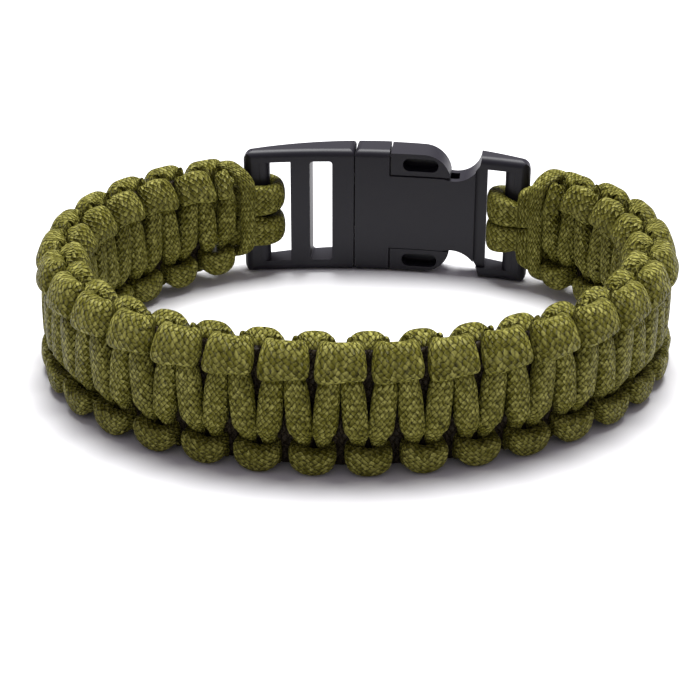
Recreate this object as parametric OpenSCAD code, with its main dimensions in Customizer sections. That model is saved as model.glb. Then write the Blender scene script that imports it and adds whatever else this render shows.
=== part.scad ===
// Bracelet of knotted cord with a side release buckle, closed and lying on its edge.
// The buckle is at the back (+Y) and its length lies along X; Z is up, along the height of the band.
// The weave is a cobra knot: each strand crosses the band once on each face, and at both edges
// the cord turns back in short raised squares, each over two strands.

/* [Weave] */
// Strands that cross the band on each face
strands = 52; // [36:2:64]
// Length of band that each strand takes
strand_pitch = 3.55; // [3:0.05:4.5]
// Height of the band from edge to edge
band_h = 19; // [15:0.5:24]
// Height of the band where it meets the buckle
band_end_h = 17; // [13:0.5:20]
// Thickness of the band over its edge squares
band_t = 7.8; // [6:0.1:10]
// Height of an edge square
square_h = 4.3; // [3:0.1:5.5]
// How deep the grooves between strands are
groove_d = 1.1; // [0.4:0.1:1.6]

/* [Loop] */
// Depth of the oval that the band follows, as a share of its width
oval_ratio = 0.785; // [0.6:0.005:1]
// Angle of the buckle round the oval, 90 being straight at the back
buckle_angle = 78; // [60:1:120]
// Gap from the plug's end to the middle of the weave
plug_gap = 1.9; // [1.5:0.1:5]
// Gap from the socket's end to the middle of the weave
socket_gap = 3.3; // [2.5:0.1:6]
// How far the weave's ends lie on the wrist side of the buckle's end bars
end_in = 1.1; // [0:0.1:2]

/* [Cord over the buckle's bars] */
// Thickness of the cord where it is pulled flat over a bar
loop_t = 2.2; // [1.6:0.1:3]
// Height of each cord on the plug's bar
plug_loop_h = 4.9; // [3.5:0.1:6]
// Height of each cord on the socket's bar
socket_loop_h = 4.6; // [3.5:0.1:6]
// Height of each cord where it flares out to the weave at the socket
flare_h = 7; // [5:0.1:8]

/* [Buckle] */
// Length of the closed buckle
buckle_l = 45; // [38:0.5:60]
// Height of the buckle, across the band
buckle_h = 20.5; // [18:0.5:26]
// Thickness at the middle of the buckle
buckle_t = 5.6; // [4.5:0.1:8]
// Thickness at both ends of the buckle
buckle_end_t = 2.4; // [2:0.1:4]
// Bend radius of the wrist side of the buckle
bow_r = 90; // [60:1:200]
// Rounding of the buckle's long edges
edge_r = 1.1; // [0.3:0.1:1.3]
// Rounding of the buckle's corners, seen from the front
corner_r = 1.8; // [0.5:0.1:3]
// Height of the slots
slot_h = 16.8; // [14:0.1:20]
// Place of the seam between plug and socket, as a share of the buckle's length from the plug's end
seam_share = 0.3844; // [0.34:0.0004:0.44]
// Play between plug and socket
play = 0.2; // [0.1:0.05:0.4]

/* [Plug] */
// Width of the end bar that carries the cords
plug_bar_w = 4.1; // [3:0.1:5]
// Width of the slot that the cords pass through
plug_slot_w = 3.3; // [3:0.1:4.5]
// Width of the middle bar
mid_bar_w = 3; // [2:0.1:4]
// Width of the second slot
spare_slot_w = 3.5; // [2:0.1:4]
// Rounding of the second slot's corners
spare_slot_r = 0.5; // [0.2:0.1:0.9]
// Width of each prong arm
arm_w = 2.1; // [1.5:0.1:3]
// Room behind each prong's tip
tip_room = 0.3; // [0.1:0.05:1]
// How far the prong buttons stand inside the buckle's height
button_inset = 0.35; // [0.1:0.05:0.8]
// Length of the pocket in each prong button, as a share of the button's
pocket_share = 0.59; // [0.4:0.01:0.62]
// Height of that pocket
pocket_h = 2.1; // [1:0.1:2.6]
// Width of the guide tongue between the arms
tongue_w = 6; // [3:0.1:8]

/* [Socket] */
// Width of the band round the socket's mouth
mouth_w = 5.4; // [3:0.1:7]
// Wall of the socket
socket_wall = 1.2; // [0.8:0.1:1.6]
// Height of the panel between the side windows
panel_h = 12.2; // [9:0.1:14]
// Radius of the neck's curve behind the prong tips
neck_r = 4.4; // [3:0.1:5]
// Width of the rib between that curve and the slot for the cords
rib_w = 1; // [0.6:0.1:2]
// Width of the end bar that carries the cords
socket_bar_w = 3.9; // [3:0.1:5]
// Width of the slot that the cords pass through
socket_slot_w = 2.8; // [2.6:0.1:4]
// Depth of the step behind the panel on the wrist side
step_d = 0.7; // [0.2:0.1:1]

/* [Hidden] */
$fn = 96;
gap = 0.15;                         // between cord and what it lies against
far = 60;                           // reach of a cutting block past the part
cord_colour = [0.43, 0.42, 0.2];
plastic_colour = [0.14, 0.14, 0.16];

// Plan of the loop

// The band's middle line is an oval, open where the buckle bridges it. The half angle of that opening
// is found by halving, so that the weave's length and the buckle's length close the loop.
plan_steps = 180;
weave_l = strands * strand_pitch;
bridge = buckle_l + plug_gap + socket_gap;
function oval(t) = [cos(t), oval_ratio * sin(t)];
function oval_angle(half, i) = buckle_angle + half + (360 - 2 * half) * i / plan_steps;
function oval_step(half, i) = norm(oval(oval_angle(half, i + 1)) - oval(oval_angle(half, i)));
function arc_len(half, i = 0, sum = 0) = i == plan_steps ? sum :
    arc_len(half, i + 1, sum + oval_step(half, i));
function opening_chord(half) = norm(oval(buckle_angle - half) - oval(buckle_angle + half));
function find_half(lo = 4, hi = 85, n = 24) = n == 0 ? (lo + hi) / 2 :
    let (mid = (lo + hi) / 2, too_long = arc_len(mid) / opening_chord(mid) > weave_l / bridge)
    find_half(too_long ? mid : lo, too_long ? hi : mid, n - 1);
half_open = find_half();
oval_a = bridge / opening_chord(half_open);
oval_line = oval(buckle_angle - half_open) - oval(buckle_angle + half_open);
oval_turn = -atan2(oval_line[1], oval_line[0]);
function turned(p, a) = [p[0] * cos(a) - p[1] * sin(a), p[0] * sin(a) + p[1] * cos(a)];
weave_start = [-buckle_l / 2 - plug_gap, -end_in];
function plan_at(t) = weave_start + oval_a * turned(oval(t) - oval(buckle_angle + half_open), oval_turn);
function plan_heading(t) = let (d = turned([-sin(t), oval_ratio * cos(t)], oval_turn)) d / norm(d);
// Length along the band against the oval's angle, to place each strand.
angle_table = [for (i = 0, s = 0; i <= plan_steps;
        s = s + (i < plan_steps ? oval_a * oval_step(half_open, i) : 0), i = i + 1)
    [s, oval_angle(half_open, i)]];
table_l = angle_table[plan_steps][0];
function angle_at(share) = lookup(share * table_l, angle_table);
function outward(t) = let (d = plan_heading(t)) [d[1], -d[0]];

// The band stands on its lower edge at the front and rises to the buckle's mid height at the back.
front_y = min([for (i = [0 : plan_steps]) plan_at(angle_table[i][1])[1]]);
function mid_z(y) = band_h / 2 + (buckle_h - band_h) / 2 * (y - front_y) / (weave_start[1] - front_y);
taper_l = 5 * strand_pitch;
function half_h(s) = let (e = min(1, min(s, weave_l - s) / taper_l))
    (band_end_h + (band_h - band_end_h) * e * (2 - e)) / 2;

// The woven band

ring_at = [0, 0.22, 0.5, 0.78];     // rings of a strand, as shares of its pitch
function bulge(d) = sqrt(max(0, 1 - (1 - d) * (1 - d)));
// How full a strand or an edge square is at u strands along the band: 0 in the groove and 1 on the crest.
function strand_full(u) = let (f = u - floor(u)) bulge(min(1, 2 * min(f, 1 - f)));
function square_full(u) = let (f = u / 2 - floor(u / 2)) bulge(min(1, 2.6 * min(f, 1 - f)));
crest = band_t / 2;
strand_crest = crest - 0.12 * square_h;
flank = 0.16 * square_h;            // from a square's inner side to the strands' full height
// One face from its lower to its upper edge. Each point is [height, thickness].
function face_points(u, h, low, high) =
    let (sl = square_full(u + low), sh = square_full(u + high), st = strand_full(u),
         strand_w = strand_crest - groove_d * (1 - st), in_h = h - square_h)
    [[-h + groove_d * (1 - sl), 0.56 * crest * (0.6 + 0.4 * sl)],
     [-h + 0.45 * square_h, crest - groove_d * 1.5 * (1 - sl)],
     [-in_h, 0.8 * crest - groove_d * (1 - sl)],
     [-in_h + flank, strand_w - 0.35 * groove_d],
     [-0.42 * in_h, strand_w],
     [0.42 * in_h, strand_w],
     [in_h - flank, strand_w - 0.35 * groove_d],
     [in_h, 0.8 * crest - groove_d * (1 - sh)],
     [h - 0.45 * square_h, crest - groove_d * 1.5 * (1 - sh)],
     [h - groove_d * (1 - sh), 0.56 * crest * (0.6 + 0.4 * sh)]];
face_n = 10;
edge_dip = 0.7 * groove_d;          // the edge lies this much lower between the squares of both faces
ring_n = 2 * face_n + 2;
function ring(u) =
    let (s = u * strand_pitch, t = angle_at(s / weave_l), p = plan_at(t), n = outward(t),
         h = half_h(s), z = mid_z(p[1]),
         outer = face_points(u, h, 1, 0), inner = face_points(u, h, 0, 1),
         at = function (v, w) [p[0] + n[0] * w, p[1] + n[1] * w, z + v])
    concat([at(-h + edge_dip, 0)], [for (q = outer) at(q[0], q[1])], [at(h - edge_dip, 0)],
           [for (i = [face_n - 1 : -1 : 0]) at(inner[i][0], -inner[i][1])]);
ring_places = concat([for (k = [0 : strands - 1]) each [for (f = ring_at) k + f]], [strands]);
last_ring = len(ring_places) - 1;
band_points = [for (u = ring_places) each ring(u)];
// An end cap runs in strips from face to face, as the outline has grooves in it.
function cap(r, flip) = [for (i = [0 : face_n])
    let (a = r + i, b = r + i + 1, c = r + (ring_n - i - 1) % ring_n, d = r + (ring_n - i) % ring_n,
         f = i == 0 ? [a, b, c] : i == face_n ? [a, b, d] : [a, b, c, d])
    flip ? [for (j = [len(f) - 1 : -1 : 0]) f[j]] : f];

// The face between point i and the next one of a ring of n, which starts at point a, and the ring after it.
function side_face(a, i, n) = let (j = (i + 1) % n) [a + i, a + j, a + n + j, a + n + i];

module woven_band()
    color(cord_colour)
    polyhedron(
        points = band_points,
        faces = concat(
            [for (r = [0 : last_ring - 1], i = [0 : ring_n - 1]) side_face(r * ring_n, i, ring_n)],
            cap(0, true), cap(last_ring * ring_n, false)),
        convexity = 10);

// The buckle's bent body

// Both faces are upright cylinders, the outer one with the tighter bend, so the body thins to its ends.
half_l = buckle_l / 2;
in_cy = -buckle_end_t / 2 - sqrt(pow(bow_r, 2) - pow(half_l, 2));
mid_out_y = in_cy + bow_r + buckle_t;
rise = mid_out_y - buckle_end_t / 2;
out_r = (pow(half_l, 2) + pow(rise, 2)) / (2 * rise);
out_cy = mid_out_y - out_r;
function in_y(x) = in_cy + sqrt(pow(bow_r, 2) - x * x);
function out_y(x) = out_cy + sqrt(pow(out_r, 2) - x * x);
function mid_y(x) = (in_y(x) + out_y(x)) / 2;
function half_t(x) = (out_y(x) - in_y(x)) / 2;
// Centre of the rounded edge of a bar whose edge is at x and whose body lies on side s of it.
function round_x(x, s) = x + s * half_t(x + s * half_t(x));
body_end_x = half_l - half_t(half_l - half_t(half_l));     // where the body's ends start to round off

plug_slot_x = -half_l + plug_bar_w;
mid_bar_x = plug_slot_x + plug_slot_w;
spare_slot_x = mid_bar_x + mid_bar_w;
shoulder_x = spare_slot_x + spare_slot_w;
seam = -half_l + seam_share * buckle_l;
root_x = (shoulder_x + seam) / 2;   // where the arms and the tongue start, inside the plug's body
mouth_x = seam + play;
window_x = mouth_x + mouth_w;
socket_bar_x = half_l - socket_bar_w;
socket_slot_x = socket_bar_x - socket_slot_w;
neck_x = socket_slot_x - rib_w - neck_r;
neck_z = panel_h / 2 + 0.95 * neck_r;
window_l = neck_x - window_x;
cavity_x = neck_x + 0.23 * neck_r;
step_x = neck_x + 0.8 * neck_r;

// Profile of an upright disc's rim from the axis out, with its two corners rounded.
module rim_profile(r, h) {
    translate([0, -h / 2]) square([r - edge_r, h]);
    translate([0, -h / 2 + edge_r]) square([r, h - 2 * edge_r]);
    for (s = [-1, 1]) translate([r - edge_r, s * (h / 2 - edge_r)]) circle(edge_r);
}
// Profile of the wrist face: what lies within the bend, up to the rounded edges.
module hollow_profile(r, h)
    difference() {
        translate([0, -h]) square([r + edge_r, 2 * h]);
        translate([r, -h / 2 + edge_r]) square([2 * edge_r, h - 2 * edge_r]);
        translate([r + edge_r, -h / 2]) square([edge_r, h]);
        for (s = [-1, 1]) translate([r + edge_r, s * (h / 2 - edge_r)]) circle(edge_r);
    }
// The whole body with rounded long edges, before it is cut to plug and socket.
module bent_body()
    intersection() {
        difference() {
            translate([0, out_cy, 0]) rotate_extrude() rim_profile(out_r, buckle_h);
            translate([0, in_cy, 0]) rotate_extrude() hollow_profile(bow_r, buckle_h);
        }
        linear_extrude(2 * buckle_h, center = true) {
            square([2 * body_end_x, far], center = true);
            for (s = [-1, 1]) translate([s * body_end_x, mid_y(body_end_x)]) circle(half_l - body_end_x);
        }
    }
// The space a wall's thickness inside both faces.
module bent_core(wall)
    difference() {
        translate([0, out_cy, 0]) cylinder(r = out_r - wall, h = 2 * buckle_h, center = true);
        translate([0, in_cy, 0]) cylinder(r = bow_r + wall, h = 3 * buckle_h, center = true);
    }
// A front outline in X and Z, cut right through the buckle's thickness.
module through() rotate([90, 0, 0]) linear_extrude(far, center = true) children();
module rounded(x0, x1, h, r) {
    translate([x0 + r, -h / 2]) square([x1 - x0 - 2 * r, h]);
    translate([x0, -h / 2 + r]) square([x1 - x0, h - 2 * r]);
    for (x = [x0 + r, x1 - r], z = [-h / 2 + r, h / 2 - r]) translate([x, z]) circle(r);
}
// A slot that leaves the bar beside it with a fully rounded edge. The bar's edge is at x, the slot on side s.
module bar_slot(x, s, w)
    linear_extrude(slot_h, center = true)
    difference() {
        c = round_x(x, -s);
        translate([min(c, x + s * w), -far / 2]) square([abs(x + s * w - c), far]);
        translate([c, mid_y(c)]) circle(abs(x - c));
    }

// One prong arm's button, seen from the front, with a rounded tip and an oval pocket.
button_z = buckle_h / 2 - button_inset;
button_x = window_x + play;
button_l = window_l - play - tip_room;
button_foot = panel_h / 2 + play;
tip_r = min(button_l / 2, 1.2 * (button_z - button_foot));
pocket_l = pocket_share * button_l;
pocket_z = (button_foot + button_z) / 2;
arm_z = buckle_h / 2 - socket_wall - play - arm_w;
module button_outline()
    difference() {
        union() {
            translate([button_x, button_foot]) square([button_l - tip_r, button_z - button_foot]);
            translate([button_x + button_l - tip_r, button_z - tip_r]) circle(tip_r);
        }
        translate([button_x, button_foot - far]) square([far, far]);
        translate([button_x + 0.9 * arm_w, pocket_z]) {
            for (x = [pocket_h / 2, pocket_l - pocket_h / 2]) translate([x, 0]) circle(pocket_h / 2);
            translate([pocket_h / 2, -pocket_h / 2]) square([pocket_l - pocket_h, pocket_h]);
        }
    }

module buckle_plug()
    color(plastic_colour)
    translate([0, 0, buckle_h / 2]) {
        difference() {
            intersection() {
                bent_body();
                through() rounded(-half_l, seam, buckle_h, corner_r / 2);
                through() rounded(-half_l, seam + corner_r, buckle_h, corner_r);
            }
            bar_slot(plug_slot_x, 1, plug_slot_w);
            through() rounded(spare_slot_x, shoulder_x, slot_h, spare_slot_r);
        }
        // the parts inside the socket
        intersection() {
            bent_core(socket_wall + play);
            union() {
                through() translate([root_x, -tongue_w / 2]) square([window_x + 0.7 * window_l - root_x, tongue_w]);
                for (s = [0, 1]) mirror([0, 0, s]) through()
                    translate([root_x, arm_z]) square([button_x + arm_w / 2 - root_x, arm_w]);
            }
        }
        // the buttons, thicker where they stand in the side windows
        intersection() {
            bent_core(play);
            for (s = [0, 1]) mirror([0, 0, s]) through() button_outline();
        }
    }

// What the side windows and the neck take from the socket's front outline.
module side_cut()
    for (s = [-1, 1]) scale([1, s]) {
        translate([window_x, panel_h / 2]) square([window_l, far]);
        translate([neck_x, neck_z]) circle(neck_r);
        translate([neck_x, neck_z]) square([neck_r, far]);
    }

module buckle_socket()
    color(plastic_colour)
    translate([0, 0, buckle_h / 2])
    difference() {
        intersection() {
            bent_body();
            through() rounded(mouth_x, half_l, buckle_h, corner_r / 2);
            through() rounded(mouth_x - corner_r, half_l, buckle_h, corner_r);
        }
        through() side_cut();
        intersection() {
            bent_core(socket_wall);
            through() translate([seam, socket_wall - buckle_h / 2])
                square([cavity_x - seam, buckle_h - 2 * socket_wall]);
        }
        bar_slot(socket_bar_x, -1, socket_slot_w);
        intersection() {
            translate([0, in_cy, 0]) cylinder(r = bow_r + step_d, h = slot_h, center = true);
            translate([step_x, -far / 2, -slot_h / 2])
                cube([socket_slot_x + socket_slot_w / 4 - step_x, far, slot_h]);
        }
    }

// The cords over the end bars

// Each cord leaves the weave, crosses the bar's wrist face, turns through the slot and comes back over
// the outer face, bent round the buckle's end on its way into the weave.
loop_sides = 12;
turn_steps = 6;
end_bends = [0, 15, 30];            // stations of that bend
function loop_ring(p, n, h, z) = [for (i = [0 : loop_sides - 1])
    let (a = 360 * i / loop_sides, d = n * cos(a) * loop_t / 2) [p[0] + d[0], p[1] + d[1], z + sin(a) * h / 2]];
// side is -1 at the plug's end and 1 at the socket's; up is 1 for the upper cord and -1 for the lower one.
module cord_loop(side, up, edge_x, end_angle, bar_h, weave_h) {
    w = plan_at(end_angle);
    n = outward(end_angle);
    to_buckle = side * [-n[1], n[0]] * gap;
    lane = band_t / 4;                  // the cord enters the weave halfway out on each face
    lie = gap + loop_t / 2;
    turn_c = [round_x(edge_x, side), mid_y(round_x(edge_x, side))];
    turn_r = abs(edge_x - turn_c[0]) + lie;
    end_c = [side * body_end_x, mid_y(body_end_x)];
    bar_z = (buckle_h + up * (bar_h + gap)) / 2;
    weave_z = mid_z(w[1]) + up * (weave_h + gap) / 2;
    rings = concat(
        [loop_ring(w - n * lane + to_buckle, n, weave_h, weave_z),
         loop_ring([end_c[0], in_y(end_c[0]) - lie], [0, 1], bar_h, bar_z)],
        [for (i = [0 : turn_steps]) let (a = -90 + 180 * i / turn_steps, d = [-side * cos(a), sin(a)])
            loop_ring(turn_c + turn_r * d, -d, bar_h, bar_z)],
        [for (b = end_bends) let (d = [side * sin(b), cos(b)])
            loop_ring(end_c + (half_l - body_end_x + lie) * d, -d, bar_h, bar_z)],
        [loop_ring(w + n * lane + to_buckle, -n, weave_h, weave_z)]);
    m = loop_sides;
    last = len(rings) - 1;
    faces = concat(
        [for (r = [0 : last - 1], i = [0 : m - 1]) side_face(r * m, i, m)],
        [[for (i = [m - 1 : -1 : 0]) i], [for (i = [0 : m - 1]) last * m + i]]);
    color(cord_colour)
    polyhedron(points = [for (r = rings) each r],
        faces = side > 0 ? faces : [for (f = faces) [for (i = [len(f) - 1 : -1 : 0]) f[i]]]);
}

plug_end_angle = buckle_angle + half_open;
socket_end_angle = buckle_angle + 360 - half_open;
module plug_loop_upper() cord_loop(-1, 1, plug_slot_x, plug_end_angle, plug_loop_h, plug_loop_h);
module plug_loop_lower() cord_loop(-1, -1, plug_slot_x, plug_end_angle, plug_loop_h, plug_loop_h);
module socket_loop_upper() cord_loop(1, 1, socket_bar_x, socket_end_angle, socket_loop_h, flare_h);
module socket_loop_lower() cord_loop(1, -1, socket_bar_x, socket_end_angle, socket_loop_h, flare_h);

// The origin is under the middle of the whole bracelet, on the surface that it lies on.
band_x = [for (p = band_points) p[0]];
band_y = [for (p = band_points) p[1]];
module set_down()
    translate([-(min(band_x) + max(band_x)) / 2, -(min(band_y) + mid_out_y) / 2, 0]) children();

set_down() buckle_plug();
set_down() buckle_socket();
set_down() plug_loop_upper();
set_down() plug_loop_lower();
set_down() socket_loop_upper();
set_down() socket_loop_lower();
set_down() woven_band();
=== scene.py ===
import math
import random
from dataclasses import dataclass

import bpy
import numpy as np
from mathutils import Matrix, Vector


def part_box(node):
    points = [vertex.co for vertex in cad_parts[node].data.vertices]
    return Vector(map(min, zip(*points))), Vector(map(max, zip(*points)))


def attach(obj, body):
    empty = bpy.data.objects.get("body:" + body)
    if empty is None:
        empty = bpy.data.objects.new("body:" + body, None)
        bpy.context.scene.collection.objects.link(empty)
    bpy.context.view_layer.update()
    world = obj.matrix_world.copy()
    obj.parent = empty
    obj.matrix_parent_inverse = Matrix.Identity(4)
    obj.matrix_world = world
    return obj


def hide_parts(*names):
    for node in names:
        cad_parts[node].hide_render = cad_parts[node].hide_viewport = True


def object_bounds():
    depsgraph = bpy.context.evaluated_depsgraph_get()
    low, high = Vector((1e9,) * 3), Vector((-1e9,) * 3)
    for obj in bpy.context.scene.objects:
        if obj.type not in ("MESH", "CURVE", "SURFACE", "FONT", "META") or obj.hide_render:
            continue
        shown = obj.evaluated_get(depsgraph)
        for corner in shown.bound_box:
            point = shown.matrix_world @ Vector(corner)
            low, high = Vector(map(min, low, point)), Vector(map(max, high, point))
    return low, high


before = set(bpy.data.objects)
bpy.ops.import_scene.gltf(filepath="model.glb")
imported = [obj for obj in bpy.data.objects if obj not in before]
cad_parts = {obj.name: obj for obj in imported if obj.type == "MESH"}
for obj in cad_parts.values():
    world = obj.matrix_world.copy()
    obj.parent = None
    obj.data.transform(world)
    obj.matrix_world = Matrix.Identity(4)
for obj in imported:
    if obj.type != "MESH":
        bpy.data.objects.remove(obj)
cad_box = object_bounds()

MM = 0.001

# Sizes that the source of the part gives, in millimetres.
STRANDS = 52            # strands that cross the band on each face
PITCH = 3.55            # length of band that each strand takes
BAND_H = 19.0
BAND_END_H = 17.0       # height of the band where it meets the buckle
BAND_T = 7.8
OVAL_RATIO = 0.785      # depth of the oval that the band follows, as a share of its width
BUCKLE_ANGLE = math.radians(78)     # angle of the buckle round the oval
PLUG_GAP = 1.9          # from the plug's end to the weave
SOCKET_GAP = 3.3        # from the socket's end to the weave
END_IN = 1.1            # how far the weave's ends lie on the wrist side of the buckle's end bars
LOOP_T = 2.2            # thickness of a cord over a bar
PLUG_LOOP_H = 4.9       # height of a cord on the plug's bar
BUCKLE_L = 45.0
BUCKLE_H = 20.5
BUCKLE_T = 5.6          # thickness at the buckle's middle
BUCKLE_END_T = 2.4      # thickness at the buckle's ends
BOW_R = 90.0            # bend radius of the buckle's wrist side
PLUG_BAR_W = 4.1
SOCKET_BAR_W = 3.9
GAP = 0.15              # between a cord and what it lies on

HALF_L = BUCKLE_L / 2
WEAVE_L = STRANDS * PITCH
TAPER_L = 5 * PITCH     # length of band over which its height grows from each end


# The oval that the band follows. Lengths along it are counted in strands from the plug's end.

OVAL_STEPS = 3000
HALF_RANGE = (math.radians(4), math.radians(85))    # between these lies the opening's half angle
HALVINGS = 30           # of that range, in the search for the half angle


def oval(t):
    return np.stack([np.cos(t), OVAL_RATIO * np.sin(t)], -1)


def open_oval(half):
    """The points of the oval outside the opening of that half angle, and the length up to each."""
    t = BUCKLE_ANGLE + half + (2 * math.pi - 2 * half) * np.linspace(0, 1, OVAL_STEPS + 1)
    points = oval(t)
    lengths = np.concatenate([[0], np.cumsum(np.hypot(*np.diff(points, axis=0).T))])
    return points, lengths


def find_half():
    """The half angle at which the weave's length and the buckle's length close the loop."""
    low, high = HALF_RANGE
    for _ in range(HALVINGS):
        half = (low + high) / 2
        points, lengths = open_oval(half)
        opening = np.hypot(*(points[-1] - points[0]))
        if lengths[-1] / opening > WEAVE_L / (BUCKLE_L + PLUG_GAP + SOCKET_GAP):
            low = half
        else:
            high = half
    return half


# The band's plan: its points, their places in strands, and the heading and the bend in radians a mm there.
plan_points, plan_lengths = open_oval(find_half())
chord = plan_points[-1] - plan_points[0]
scale = (BUCKLE_L + PLUG_GAP + SOCKET_GAP) / np.hypot(*chord)
turn = -math.atan2(chord[1], chord[0])
turn_matrix = np.array([[math.cos(turn), math.sin(turn)], [-math.sin(turn), math.cos(turn)]])
weave_start = np.array([-HALF_L - PLUG_GAP, -END_IN])
plan_points = scale * (plan_points - plan_points[0]) @ turn_matrix + weave_start
plan_u = plan_lengths / plan_lengths[-1] * STRANDS
plan_heading = np.gradient(plan_points, axis=0)
plan_heading /= np.hypot(*plan_heading.T)[:, None]
plan_angle = np.unwrap(np.arctan2(plan_heading[:, 1], plan_heading[:, 0]))
plan_bend = np.gradient(plan_angle, plan_u * PITCH)
front_y = plan_points[:, 1].min()

# The buckle's bent body: both faces are upright cylinders.
in_cy = -BUCKLE_END_T / 2 - math.sqrt(BOW_R ** 2 - HALF_L ** 2)
mid_out_y = in_cy + BOW_R + BUCKLE_T
rise = mid_out_y - BUCKLE_END_T / 2
out_r = (HALF_L ** 2 + rise ** 2) / (2 * rise)
out_cy = mid_out_y - out_r

# The shift from the buckle's own coordinates, with its middle at x = 0, to the frame's.
shift = np.array([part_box("buckle_plug")[0].x / MM + HALF_L, cad_box[1].y / MM - mid_out_y, 0.0])


def in_y(x):
    return in_cy + np.sqrt(BOW_R ** 2 - x * x)


def out_y(x):
    return out_cy + np.sqrt(out_r ** 2 - x * x)


def mid_y(x):
    return (in_y(x) + out_y(x)) / 2


def half_t(x):
    return (out_y(x) - in_y(x)) / 2


def half_h(u):
    """Half of the band's height at that place along it."""
    near_end = np.clip(np.minimum(u, STRANDS - u) * PITCH / TAPER_L, 0, 1)
    return (BAND_END_H + (BAND_H - BAND_END_H) * near_end * (2 - near_end)) / 2


def band_frame(u):
    """Points of the band's middle line at those places along it, headings, outward directions and bends."""
    inside = np.clip(u, 0, STRANDS)
    past = (u - inside) * PITCH
    head = np.stack([np.interp(inside, plan_u, plan_heading[:, i]) for i in (0, 1)], -1)
    head /= np.hypot(*head.T)[:, None]
    point = np.stack([np.interp(inside, plan_u, plan_points[:, i]) for i in (0, 1)], -1)
    point += head * past[:, None]
    # The band lies on the floor in front, and its middle rises to the buckle's middle.
    z = BAND_H / 2 + (BUCKLE_H - BAND_H) / 2 * (point[:, 1] - front_y) / (weave_start[1] - front_y)
    zero = np.zeros(len(u))
    out = np.column_stack([head[:, 1], -head[:, 0], zero])
    bend = np.interp(inside, plan_u, plan_bend)
    return np.column_stack([point, z]), np.column_stack([head, zero]), out, bend


# Tubes

FLATTEST = 1e-6         # below this a superellipse's coordinate counts as zero
ELLIPSE = 2             # a superellipse's exponent where it is a plain ellipse
tube_lengths = {}


def catmull(keys, steps):
    """A smooth path through the rows of keys, with that many steps in each interval."""
    padded = np.vstack([2 * keys[0] - keys[1], keys, 2 * keys[-1] - keys[-2]])
    rows = []
    for i, n in enumerate(steps):
        a, b, c, d = padded[i:i + 4]
        for s in np.arange(n) / n:
            rows.append(0.5 * (2 * b + (c - a) * s + (2 * a - 5 * b + 4 * c - d) * s * s
                               + (3 * b - a - 3 * c + d) * s ** 3))
    return np.array(rows + [keys[-1]])


def key_steps(centre, step):
    """How many steps of about that length lie between each centre and the next one, and at least two."""
    return np.maximum(2, np.round(np.linalg.norm(np.diff(centre, axis=0), axis=1) / step).astype(int))


def tube(name, centre, side, top, boxy, sides=24):
    """A closed tube through those centres, in millimetres. side and top are the two half axes of each ring,
    and boxy is each ring's superellipse exponent. Its UV map runs round the tube from 0 to 1 and along it in
    millimetres."""
    theta = 2 * math.pi * np.arange(sides) / sides
    power = (2 / boxy)[:, None]
    across = np.sign(np.cos(theta)) * np.abs(np.cos(theta)) ** power
    up = np.sign(np.sin(theta)) * np.abs(np.sin(theta)) ** power
    across[np.abs(across) < FLATTEST] = 0
    up[np.abs(up) < FLATTEST] = 0
    points = centre[:, None] + side[:, None] * across[..., None] + top[:, None] * up[..., None]
    rings = len(centre)
    tube_lengths[name] = round(float(np.linalg.norm(np.diff(centre, axis=0), axis=1).sum()), 1)
    # A sheath keeps its length on the outside of a bend and bunches up on the inside.
    outer_steps = np.linalg.norm(np.diff(points, axis=0), axis=2).max(axis=1)
    along = np.concatenate([[0], np.cumsum(outer_steps)])
    round_steps = np.linalg.norm(np.roll(points, -1, axis=1) - points, axis=2)
    around = np.column_stack([np.zeros(rings), np.cumsum(round_steps, axis=1)]) / round_steps.sum(1)[:, None]

    # The rings' points come first, and then the middles of the two ends.
    ends = np.array([centre[0], centre[-1]])
    vertices = (np.vstack([points.reshape(-1, 3), ends]) + shift) * MM
    faces, uvs = [], []
    for r in range(rings - 1):
        for i in range(sides):
            j = (i + 1) % sides
            faces.append((r * sides + i, r * sides + j, (r + 1) * sides + j, (r + 1) * sides + i))
            uvs.append([(around[r, i], along[r]), (around[r, i + 1], along[r]),
                        (around[r + 1, i + 1], along[r + 1]), (around[r + 1, i], along[r + 1])])
    last = (rings - 1) * sides
    for i in range(sides):
        j = (i + 1) % sides
        faces.append((j, i, rings * sides))
        uvs.append([(around[0, i + 1], along[0]), (around[0, i], along[0]), (around[0, i], along[0] - 1)])
        faces.append((last + i, last + j, rings * sides + 1))
        uvs.append([(around[-1, i], along[-1]), (around[-1, i + 1], along[-1]),
                    (around[-1, i], along[-1] + 1)])
    first = points[0, :3]
    outward = np.dot(np.cross(first[1] - first[0], points[1, 0] - first[0]), first[0] - centre[0])
    if outward < 0:
        faces = [face[::-1] for face in faces]
        uvs = [corners[::-1] for corners in uvs]

    mesh = bpy.data.meshes.new(name)
    mesh.from_pydata(vertices.tolist(), [], faces)
    layer = mesh.uv_layers.new(name="UVMap")
    layer.data.foreach_set("uv", np.array([uv for corners in uvs for uv in corners], np.float32).ravel())
    mesh.polygons.foreach_set("use_smooth", np.ones(len(faces), bool))
    mesh.update()
    piece = bpy.data.objects.new(name, mesh)
    bpy.context.scene.collection.objects.link(piece)
    return piece


# The weave. A key of a cord holds its centre, the two half axes of its ring and the ring's exponent. The
# centre is given in u, v and w: u counts strands along the band, v is the height from its middle and w the
# distance out of its middle face. The half axes are in millimetres in the same three directions.

U, V, W = 0, 1, 2       # columns of a key: the centre's
SIDE, TOP = 3, 6        # where the first and the second half axis start, again with U, V and W
BOXY = 9
KEY_LENGTH = 10

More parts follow.
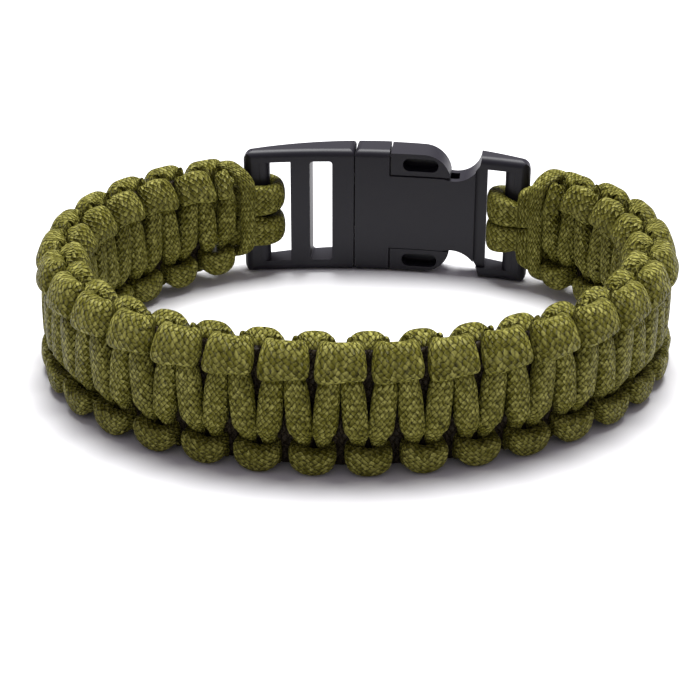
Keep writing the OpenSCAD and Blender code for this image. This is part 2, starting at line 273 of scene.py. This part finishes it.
STRAND_OUT = 1.95       # centre of a strand from the band's middle face
STRAND_W = 1.72         # half width of a strand
STRAND_T = 1.40         # half thickness of a strand
LEAN = 0.12             # how far a strand's ends lean to the middle of the square over them, in strands
LEG_AT = 0.36           # place of the first leg of a turn, in strands
LEG_W = 0.68            # half width of a leg
CORNER_AT = 0.40        # place of a square's first corner, in strands
STEP = 0.5              # distance between rings
SEED = 11

# Random differences between the squares.
LOW_RANGE = (-0.12, 0.12)       # height of the corners, in mm
OUT_RANGE = (-0.1, 0.05)        # distance out of the middle face, in mm
FAT_RANGE = (0.97, 1.03)        # size

# The cord lies fuller where it comes out from under the other one than where it goes back.
FULLER, FULLER_DOWN = 1.05, 0.05
LEANER, LEANER_UP = 0.96, 0.04


@dataclass
class Squares:
    """The squares of one edge and face, in millimetres. Their rim is their side nearest to the band's middle,
    where the other cord's strands dive under them."""
    square_h: float     # height
    thick: float        # half thickness
    out: float          # distance of their middle from the band's middle face
    tilt: float         # angle at which their rim leans out, in degrees
    inset: float        # how far they lie inside the band's edge
    corner_lift: float  # how much nearer to the band's middle their corners are
    corner_size: float  # height of the corners, as a share of the squares'
    spread: float       # how much further their rim reaches at each side
    dive: float         # how far short of the rim the strands start to dive
    under_w: float      # half width of the strands there


UPPER_OUTER = Squares(square_h=5.3, thick=1.8, out=1.95, tilt=22, inset=0.05, corner_lift=-0.1,
                      corner_size=1.0, spread=0.45, dive=0.25, under_w=1.36)
UPPER_INNER = Squares(square_h=4.9, thick=1.85, out=1.85, tilt=24, inset=0.2, corner_lift=0.3,
                      corner_size=0.96, spread=0.5, dive=0.25, under_w=1.38)
LOWER = Squares(square_h=3.6, thick=1.3, out=2.55, tilt=8, inset=0.05, corner_lift=0.7,
                corner_size=0.9, spread=0.1, dive=2.35, under_w=1.5)

# By edge, 1 for the upper one, and by face, 1 for the outer one.
SQUARES = {(1, 1): UPPER_OUTER, (1, -1): UPPER_INNER, (-1, 1): LOWER, (-1, -1): LOWER}


def key(u, v, w, side, top, boxy):
    return [u, v, w, *side, *top, boxy]


def turn_keys(k, edge, face, sigma, rng):
    """The keys of the turn from strand k to strand k + 1 at that edge, with its square on that face. sigma is
    the sign of the rings' first half axis along the band, which changes in each turn."""
    own = SQUARES[edge, face]
    over = SQUARES[edge, -face]
    tilt = math.radians(own.tilt)
    h = float(half_h(np.array(k + 1.0)))
    low, out = rng.uniform(*LOW_RANGE), rng.uniform(*OUT_RANGE)
    fat = rng.uniform(*FAT_RANGE)
    half = own.square_h / 2 * fat
    rim = h - over.square_h

    def strand(u, v, w, wide, thick, bend, boxy):
        """The cord on its way round the edge. bend is how far it has turned, in degrees, from 0 on the face
        to 90 in the leg."""
        b = math.radians(bend)
        return key(u, edge * v, -face * w, (sigma * wide, 0, 0),
                   (0, -edge * math.sin(b) * thick, face * math.cos(b) * thick), boxy)

    def square(u, v, w, turned, size, boxy):
        """The cord in its square. turned is how far it has turned, in degrees, from 0 in the leg to 90
        along the band."""
        t = math.radians(turned)
        wide = LEG_W + (own.thick * fat - LEG_W) * turned / 90
        across = (sigma * math.cos(t) * wide, -sigma * edge * math.sin(tilt) * math.sin(t) * wide,
                  -sigma * face * math.cos(tilt) * math.sin(t) * wide)
        up = (-own.spread * math.sin(2 * t), -edge * math.cos(tilt) * half * size,
              face * math.sin(tilt) * half * size)
        return key(u, edge * v, face * w, across, up, boxy)

    # From the strand on the other face, under the squares there, and round the edge into the leg.
    entry_w = 0.65 * STRAND_W + 0.35 * over.under_w
    entry = [
        strand(0.5 - LEAN * 0.45, rim * 0.45, STRAND_OUT, entry_w, STRAND_T, 0, 2.7),
        strand(0.5 - LEAN, rim - over.dive, STRAND_OUT - 0.2, over.under_w, 1.35, 5, 2.6),
        strand(0.49 - LEAN, rim - over.dive + 0.85, STRAND_OUT - 0.8, 1.2, 1.25, 40, 2.2),
        strand(LEG_AT + 0.02, rim + 0.5 + max(0, 0.5 - over.dive), 0.3, 0.85, 1.5, 70, 2.2),
        strand(LEG_AT, h - 2.3, -0.4, LEG_W, 2.2, 90, 2.8),
    ]
    # From the leg round the corner into the square.
    middle_v = h - own.inset - half
    corner_v = middle_v - own.corner_lift
    corner = [
        square(LEG_AT - 0.01, corner_v, own.out * 0.6, 20, own.corner_size * 0.95, 2.6),
        square(CORNER_AT, corner_v + low, own.out - 0.1 + out, 55, own.corner_size, 2.8),
        square(0.60, middle_v - own.corner_lift * 0.45 + low * 0.5, own.out + out, 82, 1.0, 3.2),
    ]
    middle = square(1.0, middle_v, own.out + out, 90, 1.0, 3.2)
    way_in = entry + corner
    # The second half of the turn mirrors the first one.
    way_out = []
    for row in reversed(way_in):
        mirrored = list(row)
        mirrored[U] = 2 - row[U]
        mirrored[SIDE + U] = -row[SIDE + U]
        mirrored[TOP + U] = -row[TOP + U]
        way_out.append(mirrored)
    for row in corner:
        row[TOP + V] *= FULLER
        row[V] -= edge * half * FULLER_DOWN
    for row in way_out[:len(corner)]:
        row[TOP + V] *= LEANER
        row[V] += edge * half * LEANER_UP
    keys = np.array(way_in + [middle] + way_out, float)
    keys[:, U] += k
    return keys


HALF_TURN = 8           # keys of a turn before its middle one


def hidden_end(nearest, end, inward):
    """The two keys with which a cord ends inside the band, next to its nearest key."""
    inner = nearest.copy()
    inner[U] = end + inward * 0.12
    inner[V] *= 0.66
    inner[W] *= 0.85
    inner[SIDE:BOXY] *= 0.8
    hidden = inner.copy()
    hidden[U] = end + inward * 0.5
    hidden[V] = nearest[V] * 0.3
    hidden[W] = 0
    hidden[SIDE:BOXY] *= 0.7
    return hidden, inner


def cord_keys(face):
    """All keys of one working cord. face is 1 for the cord whose squares show outside, -1 for the other."""
    rng = random.Random(SEED + face)

    def turn_at(k):
        edge = 1 if (k % 2 == 0) == (face > 0) else -1
        return turn_keys(k, edge, face, 1 if k % 2 == 0 else -1, rng)

    turns = [turn_at(k) for k in range(STRANDS - 1)]
    # The cord starts as the second half of a turn and ends as the first half of one.
    before = turn_at(-1)[HALF_TURN + 1:]
    after = turn_at(STRANDS - 1)[:HALF_TURN]
    hidden_start, inner_start = hidden_end(before[0], 0, 1)
    hidden_last, inner_last = hidden_end(after[-1], STRANDS, -1)
    return np.vstack([hidden_start, inner_start, before, *turns, after, inner_last, hidden_last])


def band_rings(rows):
    """Rings of a cord that is given in u, v and w, in the buckle's coordinates."""
    centre, head, out, bend = band_frame(rows[:, U])
    up = np.array([0.0, 0.0, 1.0])
    wide = 1 + bend * rows[:, W]
    half = []
    for first in (SIDE, TOP):
        part = rows[:, first:first + 3]
        half.append(head * (part[:, U] * wide)[:, None] + up * part[:, V:V + 1] + out * part[:, W:W + 1])
    return centre + up * rows[:, V:V + 1] + out * rows[:, W:W + 1], half[0], half[1]


def woven_cord(name, face):
    keys = cord_keys(face)
    centre, _, _ = band_rings(keys)
    rows = catmull(keys, key_steps(centre, STEP))
    centre, side, top = band_rings(rows)
    return tube(name, centre, side, top, np.maximum(rows[:, BOXY], ELLIPSE))


CORE_UPPER_HALF_H = 4.0     # half height of the upper core strand
CORE_LOWER_HALF_H = 4.65    # half height of the lower core strand
CORE_T = 0.9                # half thickness of a core strand
CORE_SHORT = 1.1            # how far a core strand ends inside the band's ends, in strands
CORE_BOXY = 3.0             # superellipse exponent of its rings
CORE_RINGS = 220


def core_strand(name, side, tall):
    """A core strand, which closes the slits between the strands."""
    u = np.linspace(CORE_SHORT, STRANDS - CORE_SHORT, CORE_RINGS)
    rows = np.zeros((len(u), KEY_LENGTH))
    rows[:, U] = u
    share = half_h(u) * 2 / BAND_H
    rows[:, V] = side * tall * share
    rows[:, SIDE + V] = tall * share
    rows[:, TOP + W] = CORE_T
    centre, side, top = band_rings(rows)
    return tube(name, centre, side, top, np.full(len(u), CORE_BOXY), sides=16)


cord_out = woven_cord("cord_outer_squares", 1)
cord_in = woven_cord("cord_inner_squares", -1)
core_upper = core_strand("core_upper", 1, CORE_UPPER_HALF_H)
core_lower = core_strand("core_lower", -1, CORE_LOWER_HALF_H)


# The cords over the buckle's end bars.

def round_x(x, s):
    """The x of the middle of the rounding at an edge x, half of the thickness there inside the edge. s is 1
    or -1, the side of x on which the material lies."""
    return x + s * half_t(x + s * half_t(x))


BODY_END_X = HALF_L - half_t(HALF_L - half_t(HALF_L))
LOOP_STEP = 0.35        # distance between rings


@dataclass
class Loop:
    """The two cords over one end bar, in millimetres."""
    side: int           # -1 for the plug and 1 for the socket
    edge_x: float       # the bar's inner edge
    thick: float        # thickness of a cord in the slot
    notch: float        # extra gap between each cord and the middle, in the slot
    slot_h: float       # height of a cord in the slot
    bar_h: float        # over the bar
    end_h: float        # at the bar's end, on the wrist side
    weave_h: float      # and in the weave
    boxy: float         # superellipse exponent outside the slot
    slot_boxy: float    # and in the slot


def bar_loop(name, loop, up):
    """One cord over a bar. up is 1 for the upper cord and -1 for the lower one."""
    side = loop.side
    end = 0.0 if side < 0 else float(STRANDS)
    inward = 1 if side < 0 else -1
    lane = BAND_T / 4           # from the band's middle face to the middle of a cord in it
    lie = GAP + LOOP_T / 2      # from a face of the bar to the middle of a cord on it
    edge_c = np.array([round_x(loop.edge_x, side), mid_y(round_x(loop.edge_x, side))])
    reach = abs(loop.edge_x - edge_c[0]) + lie
    end_c = np.array([side * BODY_END_X, mid_y(BODY_END_X)])
    # Each station has the place, the middle's height, the direction out of the cord's flat side, the cord's
    # height, its thickness and its exponent.
    stations = []

    def weave_station(u, w, h, thick):
        at, _, out, _ = band_frame(np.array([u]))
        place = at[0, :2] + out[0, :2] * w
        flat = out[0, :2] * (1 if w > 0 else -1)
        stations.append([*place, at[0, 2] + up * (h + GAP) / 2, *flat, h, thick, loop.boxy])

    def bar_station(place, flat, notch, h, thick, in_slot):
        boxy = loop.boxy + (loop.slot_boxy - loop.boxy) * in_slot
        stations.append([*place, BUCKLE_H / 2 + up * (notch + (h + GAP) / 2), *flat, h, thick, boxy])

    # Out of the weave and along the wrist side of the bar.
    weave_station(end + inward * 1.2, -lane * 0.3, loop.weave_h * 0.8, LOOP_T * 0.6)
    weave_station(end + inward * 0.15, -lane * 0.45, loop.weave_h, LOOP_T * 0.7)
    weave_station(end - inward * 0.25, -lane * 0.95, loop.weave_h, LOOP_T)
    bar_station((end_c[0], in_y(end_c[0]) - lie), (0, -1.0), 0, loop.end_h, LOOP_T, 0)
    x_mid = (end_c[0] + edge_c[0]) / 2
    bar_station((x_mid, in_y(x_mid) - lie), (0, -1.0), 0, loop.bar_h, LOOP_T, 0)
    # Round the bar's edge in the slot.
    for a in np.radians(np.arange(-90, 91, 30)):
        d = np.array([-side * math.cos(a), math.sin(a)])
        in_slot = math.cos(a)
        extra = (loop.thick - LOOP_T) * in_slot
        h = loop.bar_h + (loop.slot_h - loop.bar_h) * in_slot
        bar_station(edge_c + (reach + extra / 2) * d, d, loop.notch * in_slot, h, LOOP_T + extra, in_slot)
    # Over the bar's outer face to the buckle's end.
    for b in np.radians([0, 20, 40]):
        d = np.array([side * math.sin(b), math.cos(b)])
        bar_station(end_c + (HALF_L - BODY_END_X + lie) * d, d, 0, loop.bar_h, LOOP_T, 0)
    # Back into the weave.
    weave_station(end + inward * 0.1, lane, loop.weave_h, LOOP_T)
    weave_station(end + inward * 1.2, lane * 0.5, loop.weave_h * 0.8, LOOP_T * 0.8)

    keys = np.array(stations)
    rows = catmull(keys, key_steps(keys[:, :3], LOOP_STEP))
    flat_x, flat_y, h, thick, boxy = rows[:, 3:].T
    flat = rows[:, 3:5] / np.hypot(flat_x, flat_y)[:, None]
    zero = np.zeros(len(rows))
    return tube(name, rows[:, :3], np.column_stack([zero, zero, h / 2]),
                np.column_stack([flat * thick[:, None] / 2, zero]), np.maximum(boxy, ELLIPSE))


plug_loop = Loop(side=-1, edge_x=-HALF_L + PLUG_BAR_W, thick=LOOP_T, notch=0.3, slot_h=4.6, bar_h=PLUG_LOOP_H,
                 end_h=PLUG_LOOP_H, weave_h=PLUG_LOOP_H, boxy=3.2, slot_boxy=2.3)
socket_loop = Loop(side=1, edge_x=HALF_L - SOCKET_BAR_W, thick=2.62, notch=-0.05, slot_h=4.9, bar_h=4.0,
                   end_h=5.9, weave_h=7.4, boxy=4.5, slot_boxy=4.0)
loops = {}
for end_name, loop in (("plug", plug_loop), ("socket", socket_loop)):
    for level, up in (("upper", 1), ("lower", -1)):
        node = f"{end_name}_loop_{level}"
        loops[node] = bar_loop(node + "_cord", loop, up)

WRAP_T = 0.85           # half thickness of the cord that is wound round the others
WRAP_BOXY = 2.6         # superellipse exponent of its rings
WRAP_STEP = 0.4         # distance between rings


def end_wrap(name, end, inward, at, top_v, low_v):
    """One turn of cord round the cords beside a bar, that far out of the band's end. Each key holds u from
    the band's end, v, w, the angle of the cord's outer side in the v and w plane, and the half width."""
    keys = np.array([
        [0.5, -2.0, 1.2, -30, 0.9],
        [0.1, 2.2 - low_v, 2.9, -20, 1.1],
        [0.0, -low_v, 0.0, -90, 1.25],
        [-at, 1.7 - low_v, -3.0, -165, 1.25],
        [-at, 0.5, -3.3, -180, 1.3],
        [-at, top_v - 2.1, -3.1, -195, 1.35],
        [0.15, top_v, 0.0, -270, 1.5],
        [0.2, top_v - 2.3, 2.9, -340, 1.1],
        [0.5, 2.0, 1.2, -330, 0.9],
    ])
    path = catmull(keys, key_steps(keys[:, :3] * (PITCH, 1, 1), WRAP_STEP))
    angle = np.radians(path[:, 3])
    rows = np.zeros((len(path), KEY_LENGTH))
    rows[:, U] = end + inward * path[:, 0]
    rows[:, V:W + 1] = path[:, 1:3]
    rows[:, SIDE + U] = path[:, 4]
    rows[:, TOP + V] = np.sin(angle) * WRAP_T
    rows[:, TOP + W] = np.cos(angle) * WRAP_T
    centre, side, top = band_rings(rows)
    return tube(name, centre, side, top, np.full(len(rows), WRAP_BOXY))


wraps = [end_wrap("plug_wrap_cord", end=0.0, inward=1, at=0.40, top_v=8.0, low_v=6.3),
         end_wrap("socket_wrap_cord", end=float(STRANDS), inward=-1, at=0.15, top_v=8.6, low_v=8.2)]


# The floor of the oval pocket in each prong, in the buckle's coordinates.
POCKET_X = (2.49, 8.09)
POCKET_Z = 8.1          # from the buckle's middle
POCKET_HALF_H = 1.1
POCKET_FLOOR_T = 0.8
POCKET_OVERLAP = 0.05   # how far the floor reaches past the pocket at each end
POCKET_BOXY = 6.0       # superellipse exponent of its rings
POCKET_RINGS = 12


def pocket_floor(name, side):
    x = np.linspace(POCKET_X[0] - POCKET_OVERLAP, POCKET_X[1] + POCKET_OVERLAP, POCKET_RINGS)
    centre = np.column_stack([x, mid_y(x), np.full(len(x), BUCKLE_H / 2 + side * POCKET_Z)])
    up = np.tile([0, 0, POCKET_HALF_H], (len(x), 1))
    out = np.tile([0, POCKET_FLOOR_T / 2, 0], (len(x), 1))
    return tube(name, centre, up, out, np.full(len(x), POCKET_BOXY), sides=16)


pocket_floors = [pocket_floor("pocket_floor_upper", 1), pocket_floor("pocket_floor_lower", -1)]


# Materials

FLOAT_L = 0.95          # length of one yarn float, in mm
BRAID_COLUMNS = 14.0    # floats round the cord
BRAID_BUMP = 0.22       # height of the floats, in mm
GRAIN_BUMP = 0.02       # height of the plastic's grain, in mm

# Sizes of the noises, as waves in a metre.
STIR_SCALE = 800.0      # bends the rows of floats
WOBBLE_SCALE = 2300.0   # bends single floats
PATCH_SCALE = 160.0     # lighter and darker patches of the sheath
FIBRE_SCALE = 3500.0    # fibres of the yarn
GRAIN_SCALE = 2400.0    # grain of the plastic
CLOUD_SCALE = 90.0      # clouds in the plastic
FLOOR_SCALE = 6.0       # clouds in the floor

# The darkest olive is painted shade in the crevices between the yarn floats.
OLIVE_CREVICE_SHADE = (0.027, 0.024, 0.001, 1)
OLIVE = (0.123, 0.115, 0.010, 1)
# The light olive serves random light flecks and also the painted highlight at the floats' raised ends.
OLIVE_FLECKS_AND_HIGHLIGHT = (0.385, 0.366, 0.092, 1)
# The core strands' dark browns are painted shade: they stand for the deep shade in the slits between the
# strands.
CORE_PAINTED_SHADE_DARK = (0.006, 0.004, 0.002, 1)
CORE_PAINTED_SHADE = (0.022, 0.016, 0.008, 1)
CORE_PAINTED_SHADE_LIGHT = (0.045, 0.034, 0.018, 1)
PLASTIC_DARK = (0.012, 0.0112, 0.016, 1)
PLASTIC_LIGHT = (0.017, 0.016, 0.022, 1)
FLOOR_GREY = (0.79, 0.79, 0.80, 1)
FLOOR_LIGHT = (0.82, 0.82, 0.83, 1)


class Nodes:
    """Short calls to build one material's nodes."""

    def __init__(self, name):
        self.material = bpy.data.materials.new(name)
        self.material.use_nodes = True
        self.tree = self.material.node_tree
        self.tree.nodes.clear()
        output = self.tree.nodes.new("ShaderNodeOutputMaterial")
        self.shader = self.tree.nodes.new("ShaderNodeBsdfPrincipled")
        self.tree.links.new(self.shader.outputs[0], output.inputs[0])

    def put(self, value, socket):
        """Link a node's output to the socket, or set the socket's own value."""
        if isinstance(value, bpy.types.NodeSocket):
            self.tree.links.new(value, socket)
        else:
            socket.default_value = value

    def node(self, kind, inputs=(), **settings):
        n = self.tree.nodes.new(kind)
        for attribute, value in settings.items():
            setattr(n, attribute, value)
        for socket, value in dict(inputs).items():
            self.put(value, n.inputs[socket])
        return n

    def place(self):
        """The object's own coordinates."""
        return self.node("ShaderNodeTexCoord").outputs["Object"]

    def noise(self, place, scale, detail):
        return self.node("ShaderNodeTexNoise", {"Vector": place, "Scale": scale, "Detail": detail})

    def math(self, operation, a, b=0.0, clamp=False):
        return self.node("ShaderNodeMath", {0: a, 1: b}, operation=operation, use_clamp=clamp).outputs[0]

    def less(self, a, b, clamp=False):
        return self.math("SUBTRACT", a, b, clamp)

    def times(self, a, b):
        return self.math("MULTIPLY", a, b)

    def power(self, a, b, clamp=False):
        return self.math("POWER", a, b, clamp)

    def total(self, *terms):
        """The sum of the terms, each a value and its weight."""
        amount = self.times(*terms[0])
        for term in terms[1:]:
            amount = self.math("ADD", amount, self.times(*term))
        return amount

    def mix(self, share, a, b):
        n = self.node("ShaderNodeMix", data_type="RGBA")
        for value, socket in ((share, n.inputs[0]), (a, n.inputs[6]), (b, n.inputs[7])):
            self.put(value, socket)
        return n.outputs[2]

    def bump(self, height, distance, strength=1.0):
        inputs = {"Height": height, "Distance": distance, "Strength": strength}
        return self.node("ShaderNodeBump", inputs).outputs[0]

    def set(self, **values):
        """Set or link the shader's sockets, whose names have underscores here for their spaces."""
        for socket, value in values.items():
            self.put(value, self.shader.inputs[socket.replace("_", " ")])


def braid(name, crevice_shade, body, light):
    """A braided sheath: rows of short yarn floats that lean left and right in turn. Its colour darkens where
    the floats go down, as painted shade in the crevices between them, and lightens towards each float's
    raised end as a painted highlight.
    """
    n = Nodes(name)
    place = n.place()
    stir = n.noise(place, STIR_SCALE, 2.0).outputs[0]
    uv = n.node("ShaderNodeSeparateXYZ", {0: n.node("ShaderNodeUVMap", uv_map="UVMap").outputs[0]})
    wobble = n.node("ShaderNodeSeparateColor", {0: n.noise(place, WOBBLE_SCALE, 0.0).outputs[1]})
    x = n.math("ADD", n.times(uv.outputs[0], BRAID_COLUMNS), n.total((stir, 1.3), (wobble.outputs[0], 0.28)))
    y = n.less(n.math("DIVIDE", uv.outputs[1], FLOAT_L), n.total((stir, 0.9), (wobble.outputs[1], 0.28)))

    # The cells of a lattice that leans both ways. In odd cells the float runs along a, in even ones along b.
    a, b = n.math("ADD", x, y), n.less(x, y)
    cell_a, cell_b = n.math("FLOOR", a), n.math("FLOOR", b)
    share_a, share_b = n.math("FRACT", a), n.math("FRACT", b)
    odd = n.math("MODULO", n.math("ABSOLUTE", n.math("ADD", cell_a, cell_b)), 2.0)
    even = n.less(1.0, odd)
    off_a = n.math("ABSOLUTE", n.less(n.times(share_a, 2.0), 1.0))
    off_b = n.math("ABSOLUTE", n.less(n.times(share_b, 2.0), 1.0))
    climb = n.total((odd, share_a), (even, share_b))
    across = n.total((odd, off_b), (even, off_a))

    # A float is highest along its middle, and goes down at its sides, its tail and its tip.
    sides, tail, tip = n.power(across, 4.0), n.power(n.less(1.0, climb), 4.0), n.power(climb, 9.0)
    height = n.less(1.0, n.total((sides, 0.6), (tail, 0.85), (tip, 0.6)), clamp=True)

    cell = n.node("ShaderNodeCombineXYZ", {0: cell_a, 1: cell_b}).outputs[0]
    chance = n.node("ShaderNodeTexWhiteNoise", {"Vector": cell}, noise_dimensions="3D").outputs[0]
    patches = n.noise(place, PATCH_SCALE, 3.0).outputs[0]
    fibre = n.noise(place, FIBRE_SCALE, 2.0).outputs[0]
    # Random tone of each float, of the patches and of the fibres, plus a painted highlight that grows towards
    # each float's raised end.
    shade = n.total((n.power(chance, 2.0), 0.7), (patches, 0.4), (n.power(climb, 2.0), 0.45), (fibre, 0.3))
    tone = n.mix(n.less(shade, 0.45, clamp=True), body, light)
    relief = n.total((height, n.math("ADD", n.times(climb, 0.9), 0.5)), (fibre, 0.15))
    # The colour darkens as a float goes down at its sides, tail and tip: painted shade in the crevices
    # between the floats.
    n.set(Base_Color=n.mix(n.power(height, 0.8, clamp=True), crevice_shade, tone),
          Roughness=n.math("ADD", n.times(patches, 0.15), 0.45),
          Normal=n.bump(relief, BRAID_BUMP * MM), Specular_IOR_Level=0.13)
    return n.material


def plastic(name):
    """Moulded plastic with a fine matt grain."""
    n = Nodes(name)
    place = n.place()
    grain = n.noise(place, GRAIN_SCALE, 3.0).outputs[0]
    clouds = n.noise(place, CLOUD_SCALE, 4.0).outputs[0]
    n.set(Base_Color=n.mix(clouds, PLASTIC_DARK, PLASTIC_LIGHT),
          Roughness=n.math("ADD", n.times(clouds, 0.14), 0.38),
          Normal=n.bump(grain, GRAIN_BUMP * MM, strength=0.6), Specular_IOR_Level=0.25)
    return n.material


def pale_floor(name):
    n = Nodes(name)
    clouds = n.noise(n.place(), FLOOR_SCALE, 3.0).outputs[0]
    n.set(Base_Color=n.mix(clouds, FLOOR_GREY, FLOOR_LIGHT), Roughness=0.7, Specular_IOR_Level=0.2)
    return n.material


sheath = braid("cord_braid", OLIVE_CREVICE_SHADE, OLIVE, OLIVE_FLECKS_AND_HIGHLIGHT)
# The core strands' dark material is painted shade in the slits between the strands.
painted_shade_core_sheath = braid("core_braid_painted_shade", CORE_PAINTED_SHADE_DARK, CORE_PAINTED_SHADE, CORE_PAINTED_SHADE_LIGHT)
black = plastic("buckle_plastic")

for node in ("buckle_plug", "buckle_socket"):
    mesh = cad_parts[node].data
    mesh.materials.clear()
    mesh.materials.append(black)

for piece in pocket_floors:
    piece.data.materials.append(black)
    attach(piece, "root")
for piece in (cord_out, cord_in, core_upper, core_lower, *wraps, *loops.values()):
    piece.data.materials.append(painted_shade_core_sheath if piece in (core_upper, core_lower) else sheath)
    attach(piece, "root")
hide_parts("woven_band")
for node, piece in loops.items():
    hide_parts(node)


# Floor and light, in metres

FLOOR_HALF = 2.0
WORLD_COLOUR = (1.05, 0.965, 1.13, 1)
WORLD_STRENGTH = 0.27
LIGHT_AT = (0.0, 0.26, 0.82)
LIGHT_SIZE = 0.60
LIGHT_POWER = 16.5

floor_mesh = bpy.data.meshes.new("floor")
floor_mesh.from_pydata([(-FLOOR_HALF, -FLOOR_HALF, 0), (FLOOR_HALF, -FLOOR_HALF, 0),
                        (FLOOR_HALF, FLOOR_HALF, 0), (-FLOOR_HALF, FLOOR_HALF, 0)], [], [(0, 1, 2, 3)])
floor = bpy.data.objects.new("floor", floor_mesh)
bpy.context.scene.collection.objects.link(floor)
floor_mesh.materials.append(pale_floor("pale_floor"))

world = bpy.data.worlds.new("studio")
world.use_nodes = True
background = world.node_tree.nodes["Background"]
background.inputs[0].default_value = WORLD_COLOUR
background.inputs[1].default_value = WORLD_STRENGTH
bpy.context.scene.world = world
bpy.context.scene.view_settings.view_transform = "Standard"

light_data = bpy.data.lights.new("light_above", "AREA")
light_data.shape = "DISK"
light_data.size = LIGHT_SIZE
light_data.energy = LIGHT_POWER
light = bpy.data.objects.new("light_above", light_data)
light.location = LIGHT_AT
light.rotation_mode = "QUATERNION"
light.rotation_quaternion = (-Vector(LIGHT_AT)).to_track_quat("-Z", "Y")
bpy.context.scene.collection.objects.link(light)


# The camera

# Its place, in mm in the frame, and its angles, from points of the photograph.
CAMERA_AT = (23.21, -261.04, 133.21)
CAMERA_DOWN = math.radians(26.762)
CAMERA_LEFT = math.radians(5.286)
CAMERA_ROLL = math.radians(0.194)
FOCAL_PX = 1996.7
IMAGE_PX = 700
SENSOR_WIDTH = 36

forward = Vector((-math.sin(CAMERA_LEFT) * math.cos(CAMERA_DOWN),
                  math.cos(CAMERA_LEFT) * math.cos(CAMERA_DOWN), -math.sin(CAMERA_DOWN)))
level = Vector((math.cos(CAMERA_LEFT), math.sin(CAMERA_LEFT), 0))
upright = level.cross(forward)
right = math.cos(CAMERA_ROLL) * level + math.sin(CAMERA_ROLL) * upright
above = -math.sin(CAMERA_ROLL) * level + math.cos(CAMERA_ROLL) * upright
camera_data = bpy.data.cameras.new("camera")
camera_data.sensor_width = SENSOR_WIDTH
camera_data.lens = FOCAL_PX / IMAGE_PX * SENSOR_WIDTH
camera_data.clip_start = 0.01
camera = bpy.data.objects.new("camera", camera_data)
bpy.context.scene.collection.objects.link(camera)
camera_turn = Matrix((right, above, -forward)).transposed().to_4x4()
camera.matrix_world = Matrix.Translation(Vector(CAMERA_AT) * MM) @ camera_turn
bpy.context.scene.camera = camera

print("lengths of the tubes in mm", tube_lengths)
